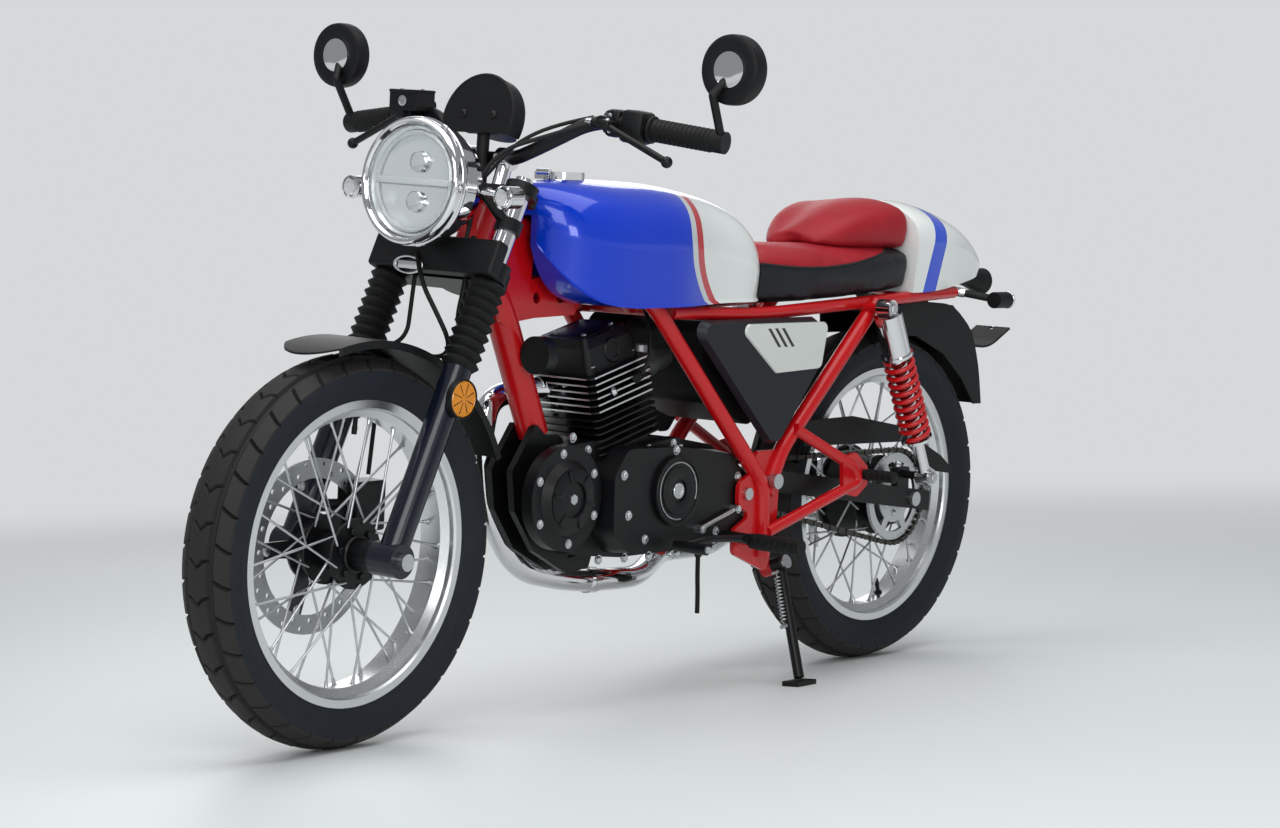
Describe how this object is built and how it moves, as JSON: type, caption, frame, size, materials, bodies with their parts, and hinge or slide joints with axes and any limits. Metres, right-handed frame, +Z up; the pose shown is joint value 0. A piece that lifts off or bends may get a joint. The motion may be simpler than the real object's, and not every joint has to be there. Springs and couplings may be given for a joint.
{
  "type": "cafe racer motorcycle",
  "caption": "Naked road motorcycle with a round lamp, bare single-cylinder engine, spoked wheels, humped seat and tail cowl, parked on its side stand.",
  "frame": {"origin": "middle of the footprint of the whole machine, on the ground it stands on", "axes": "+X ahead, +Y to the rider's left, +Z up"},
  "size_m": [2.0486, 0.904, 1.1316],
  "materials": {
    "red_frame": "gloss",
    "black_metal": "satin",
    "black_plastic": "satin",
    "alloy": "satin",
    "chrome": "polished",
    "blue_paint": "gloss",
    "silver_paint": "satin",
    "seat_leather": "matt",
    "red_leather": "matt",
    "white_paint": "gloss",
    "red_lens": "gloss",
    "amber_lens": "gloss",
    "steel": "satin",
    "rubber": "matt",
    "tyre": "matt",
    "clear_glass": "clear"
  },
  "bodies": {
    "chassis": {"airbox": "black_plastic", "axle_bolts": "steel", "brake_plate": "black_metal", "breather_hose": "rubber", "carburettor": "alloy", "chain": "steel", "chain_guard": "black_plastic", "crankcase": "black_metal", "cylinder": "black_metal", "cylinder_head": "black_metal", "engine_covers": "black_metal", "foot_controls": "black_metal", "foot_pegs": "rubber", "frame": "red_frame", "fuel_cap": "chrome", "fuel_tank": "blue_paint", "header_pipe": "chrome", "horn": "black_metal", "hump_pad": "red_leather", "muffler": "chrome", "rear_indicators": "black_plastic", "rear_mudguard": "black_plastic", "seat": "seat_leather", "shock_bodies": "chrome", "shock_springs": "red_frame", "side_covers": "black_plastic", "side_panels": "silver_paint", "swingarm": "black_metal", "tail_cowl": "white_paint", "tail_lamp": "red_lens"},
    "rear_wheel": {"rear_hub": "black_metal", "rear_rim": "alloy", "rear_spokes": "steel", "rear_sprocket": "steel", "rear_tyre": "tyre"},
    "steering": {"bar_clamps": "steel", "control_cables": "rubber", "fork_clamps": "black_metal", "fork_cover": "black_plastic", "fork_gaiters": "rubber", "fork_legs": "black_metal", "fork_tubes": "chrome", "front_axle": "steel", "front_caliper": "black_metal", "front_indicators": "black_plastic", "front_mudguard": "black_plastic", "gauge": "black_plastic", "grips": "rubber", "hand_controls": "black_metal", "handlebar": "black_metal", "headlamp_bowl": "chrome", "headlamp_lens": "clear_glass", "mirrors": "black_plastic", "reflectors": "amber_lens"},
    "front_wheel": {"front_disc": "steel", "front_hub": "black_metal", "front_rim": "alloy", "front_spokes": "steel", "front_tyre": "tyre"},
    "side_stand": {"side_stand": "black_metal"}
  },
  "joints": [
    {"name": "steering", "type": "hinge", "parent": "chassis", "child": "steering", "pos_m": [0.42371, -0.01882, 0.83117], "axis": [-0.4305, 0.0787, 0.8992], "range_deg": [-42, 38]},
    {"name": "front_wheel_spin", "type": "hinge", "parent": "steering", "child": "front_wheel", "pos_m": [0.72647, -0.06406, 0.297], "axis": [-0.0315, 0.9943, -0.1021], "continuous": true},
    {"name": "rear_wheel_spin", "type": "hinge", "parent": "chassis", "child": "rear_wheel", "pos_m": [-0.60851, -0.0651, 0.30212], "axis": [0, 0.9962, -0.0872], "continuous": true},
    {"name": "side_stand_fold", "type": "hinge", "parent": "chassis", "child": "side_stand", "pos_m": [-0.23856, 0.00656, 0.19765], "axis": [0, 0.9573, 0.2891], "range_deg": [0, 92]}
  ]
}
